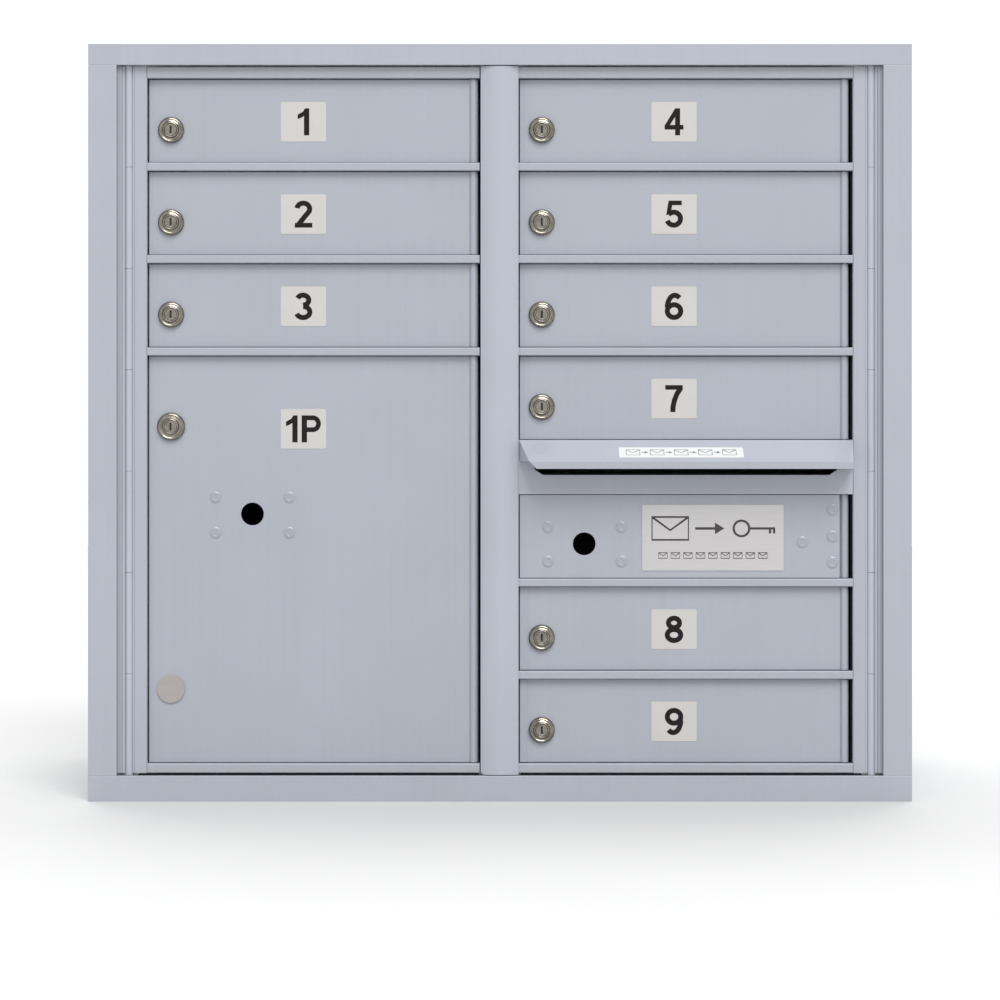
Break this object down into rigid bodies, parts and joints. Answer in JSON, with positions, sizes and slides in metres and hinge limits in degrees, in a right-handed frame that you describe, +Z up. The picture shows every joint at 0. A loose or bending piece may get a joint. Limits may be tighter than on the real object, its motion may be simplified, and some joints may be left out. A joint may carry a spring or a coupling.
{
  "type": "cluster mailbox unit",
  "caption": "Front-loading cluster mailbox: tenant doors and a parcel locker hung on two master doors, an outgoing mail slot under a hood, and a surface-mount collar.",
  "frame": {"origin": "centre of the collar's underside, midway between the wall face and the collar's front", "axes": "+X to the right seen from the front, +Y towards the wall, +Z up"},
  "size_m": [0.7906, 0.485, 0.7269],
  "materials": {
    "powder_coat": "satin",
    "cabinet_coat": "satin",
    "zinc_steel": "satin",
    "nickel": "satin",
    "label_plastic": "matte",
    "label_ink": "matte",
    "plate_aluminium": "brushed"
  },
  "bodies": {
    "root": {"collar_top": "powder_coat", "collar_bottom": "powder_coat", "collar_sides": "powder_coat", "cabinet_back": "cabinet_coat", "cabinet_sides": "cabinet_coat", "cabinet_top": "cabinet_coat", "cabinet_floor": "cabinet_coat", "cabinet_bearers": "zinc_steel", "centre_partition": "cabinet_coat", "left_shelves": "cabinet_coat", "right_shelves": "cabinet_coat", "jamb_hinge_knuckles": "powder_coat", "jamb_hinge_pins": "zinc_steel"},
    "left_master_door": {"left_master_stile": "powder_coat", "left_master_rails": "powder_coat", "left_rear_stile": "powder_coat", "left_door_hinge_rod": "zinc_steel"},
    "left_bolt": {"left_master_bolt": "zinc_steel"},
    "right_master_door": {"centre_post": "powder_coat", "right_master_stile": "powder_coat", "right_master_rails": "powder_coat", "right_door_hinge_rod": "zinc_steel", "outgoing_hood": "powder_coat", "latch_guides": "powder_coat"},
    "lever": {"latch_lever": "zinc_steel"},
    "upper_rod": {"upper_latch_rod": "zinc_steel"},
    "lower_rod": {"lower_latch_rod": "zinc_steel"},
    "parcel": {"parcel_door": "powder_coat", "parcel_lock_housing": "nickel", "parcel_door_fittings": "zinc_steel"},
    "parcel_cylinder": {"parcel_lock_cylinder": "nickel"},
    "carrier": {"carrier_door": "powder_coat", "carrier_door_fittings": "powder_coat"},
    "door_1": {"tenant_door_1": "powder_coat", "lock_housing_1": "nickel"},
    "cylinder_1": {"lock_cylinder_1": "nickel"},
    "door_2": {"tenant_door_2": "powder_coat", "lock_housing_2": "nickel"},
    "cylinder_2": {"lock_cylinder_2": "nickel"},
    "door_3": {"tenant_door_3": "powder_coat", "lock_housing_3": "nickel"},
    "cylinder_3": {"lock_cylinder_3": "nickel"},
    "door_4": {"tenant_door_4": "powder_coat", "lock_housing_4": "nickel"},
    "cylinder_4": {"lock_cylinder_4": "nickel"},
    "door_5": {"tenant_door_5": "powder_coat", "lock_housing_5": "nickel"},
    "cylinder_5": {"lock_cylinder_5": "nickel"},
    "door_6": {"tenant_door_6": "powder_coat", "lock_housing_6": "nickel"},
    "cylinder_6": {"lock_cylinder_6": "nickel"},
    "door_7": {"tenant_door_7": "powder_coat", "lock_housing_7": "nickel"},
    "cylinder_7": {"lock_cylinder_7": "nickel"},
    "door_8": {"tenant_door_8": "powder_coat", "lock_housing_8": "nickel"},
    "cylinder_8": {"lock_cylinder_8": "nickel"},
    "door_9": {"tenant_door_9": "powder_coat", "lock_housing_9": "nickel"},
    "cylinder_9": {"lock_cylinder_9": "nickel"}
  },
  "joints": [
    {"name": "left_master_hinge", "type": "hinge", "parent": "root", "child": "left_master_door", "pos_m": [-0.357, -0.216, 0.36347], "axis": [0, 0, -1], "range_deg": [0, 90]},
    {"name": "right_master_hinge", "type": "hinge", "parent": "root", "child": "right_master_door", "pos_m": [0.357, -0.216, 0.36347], "axis": [0, 0, 1], "range_deg": [0, 90]},
    {"name": "left_bolt_slide", "type": "slide", "parent": "left_master_door", "child": "left_bolt", "axis": [0, 0, 1], "range_m": [0, 0.009]},
    {"name": "latch_lever_turn", "type": "hinge", "parent": "right_master_door", "child": "lever", "pos_m": [-0.004, -0.198, 0.25395], "axis": [0, -1, 0], "range_deg": [0, 70]},
    {"name": "upper_rod_slide", "type": "slide", "parent": "right_master_door", "child": "upper_rod", "axis": [0, 0, 1], "range_m": [0, 0.0092]},
    {"name": "lower_rod_slide", "type": "slide", "parent": "right_master_door", "child": "lower_rod", "axis": [0, 0, -1], "range_m": [0, 0.0092]},
    {"name": "parcel_door_hinge", "type": "hinge", "parent": "left_master_door", "child": "parcel", "pos_m": [-0.0253, -0.212, 0.2313], "axis": [0, 0, 1], "range_deg": [0, 95]},
    {"name": "parcel_lock_turn", "type": "hinge", "parent": "parcel", "child": "parcel_cylinder", "pos_m": [-0.3169, -0.213, 0.35955], "axis": [0, 1, 0], "range_deg": [0, 90]},
    {"name": "carrier_door_hinge", "type": "hinge", "parent": "right_master_door", "child": "carrier", "pos_m": [0.3318, -0.212, 0.25395], "axis": [0, 0, 1], "range_deg": [0, 90]},
    {"name": "door_1_hinge", "type": "hinge", "parent": "left_master_door", "child": "door_1", "pos_m": [-0.0253, -0.212, 0.654], "axis": [0, 0, 1], "range_deg": [0, 95]},
    {"name": "lock_1_turn", "type": "hinge", "parent": "door_1", "child": "cylinder_1", "pos_m": [-0.3169, -0.213, 0.6452], "axis": [0, 1, 0], "range_deg": [0, 90]},
    {"name": "door_2_hinge", "type": "hinge", "parent": "left_master_door", "child": "door_2", "pos_m": [-0.0253, -0.212, 0.5651], "axis": [0, 0, 1], "range_deg": [0, 95]},
    {"name": "lock_2_turn", "type": "hinge", "parent": "door_2", "child": "cylinder_2", "pos_m": [-0.3169, -0.213, 0.5563], "axis": [0, 1, 0], "range_deg": [0, 90]},
    {"name": "door_3_hinge", "type": "hinge", "parent": "left_master_door", "child": "door_3", "pos_m": [-0.0253, -0.212, 0.4762], "axis": [0, 0, 1], "range_deg": [0, 95]},
    {"name": "lock_3_turn", "type": "hinge", "parent": "door_3", "child": "cylinder_3", "pos_m": [-0.3169, -0.213, 0.4674], "axis": [0, 1, 0], "range_deg": [0, 90]},
    {"name": "door_4_hinge", "type": "hinge", "parent": "right_master_door", "child": "door_4", "pos_m": [0.3318, -0.212, 0.654], "axis": [0, 0, 1], "range_deg": [0, 95]},
    {"name": "lock_4_turn", "type": "hinge", "parent": "door_4", "child": "cylinder_4", "pos_m": [0.0402, -0.213, 0.6452], "axis": [0, 1, 0], "range_deg": [0, 90]},
    {"name": "door_5_hinge", "type": "hinge", "parent": "right_master_door", "child": "door_5", "pos_m": [0.3318, -0.212, 0.5651], "axis": [0, 0, 1], "range_deg": [0, 95]},
    {"name": "lock_5_turn", "type": "hinge", "parent": "door_5", "child": "cylinder_5", "pos_m": [0.0402, -0.213, 0.5563], "axis": [0, 1, 0], "range_deg": [0, 90]},
    {"name": "door_6_hinge", "type": "hinge", "parent": "right_master_door", "child": "door_6", "pos_m": [0.3318, -0.212, 0.4762], "axis": [0, 0, 1], "range_deg": [0, 95]},
    {"name": "lock_6_turn", "type": "hinge", "parent": "door_6", "child": "cylinder_6", "pos_m": [0.0402, -0.213, 0.4674], "axis": [0, 1, 0], "range_deg": [0, 90]},
    {"name": "door_7_hinge", "type": "hinge", "parent": "right_master_door", "child": "door_7", "pos_m": [0.3318, -0.212, 0.3873], "axis": [0, 0, 1], "range_deg": [0, 95]},
    {"name": "lock_7_turn", "type": "hinge", "parent": "door_7", "child": "cylinder_7", "pos_m": [0.0402, -0.213, 0.3785], "axis": [0, 1, 0], "range_deg": [0, 90]},
    {"name": "door_8_hinge", "type": "hinge", "parent": "right_master_door", "child": "door_8", "pos_m": [0.3318, -0.212, 0.16505], "axis": [0, 0, 1], "range_deg": [0, 95]},
    {"name": "lock_8_turn", "type": "hinge", "parent": "door_8", "child": "cylinder_8", "pos_m": [0.0402, -0.213, 0.15625], "axis": [0, 1, 0], "range_deg": [0, 90]},
    {"name": "door_9_hinge", "type": "hinge", "parent": "right_master_door", "child": "door_9", "pos_m": [0.3318, -0.212, 0.07615], "axis": [0, 0, 1], "range_deg": [0, 95]},
    {"name": "lock_9_turn", "type": "hinge", "parent": "door_9", "child": "cylinder_9", "pos_m": [0.0402, -0.213, 0.06735], "axis": [0, 1, 0], "range_deg": [0, 90]}
  ],
  "couplings": [
    {"joint": "upper_rod_slide", "follows": "latch_lever_turn", "m_per_rad": 0.0075117},
    {"joint": "lower_rod_slide", "follows": "latch_lever_turn", "m_per_rad": 0.0075117}
  ]
}
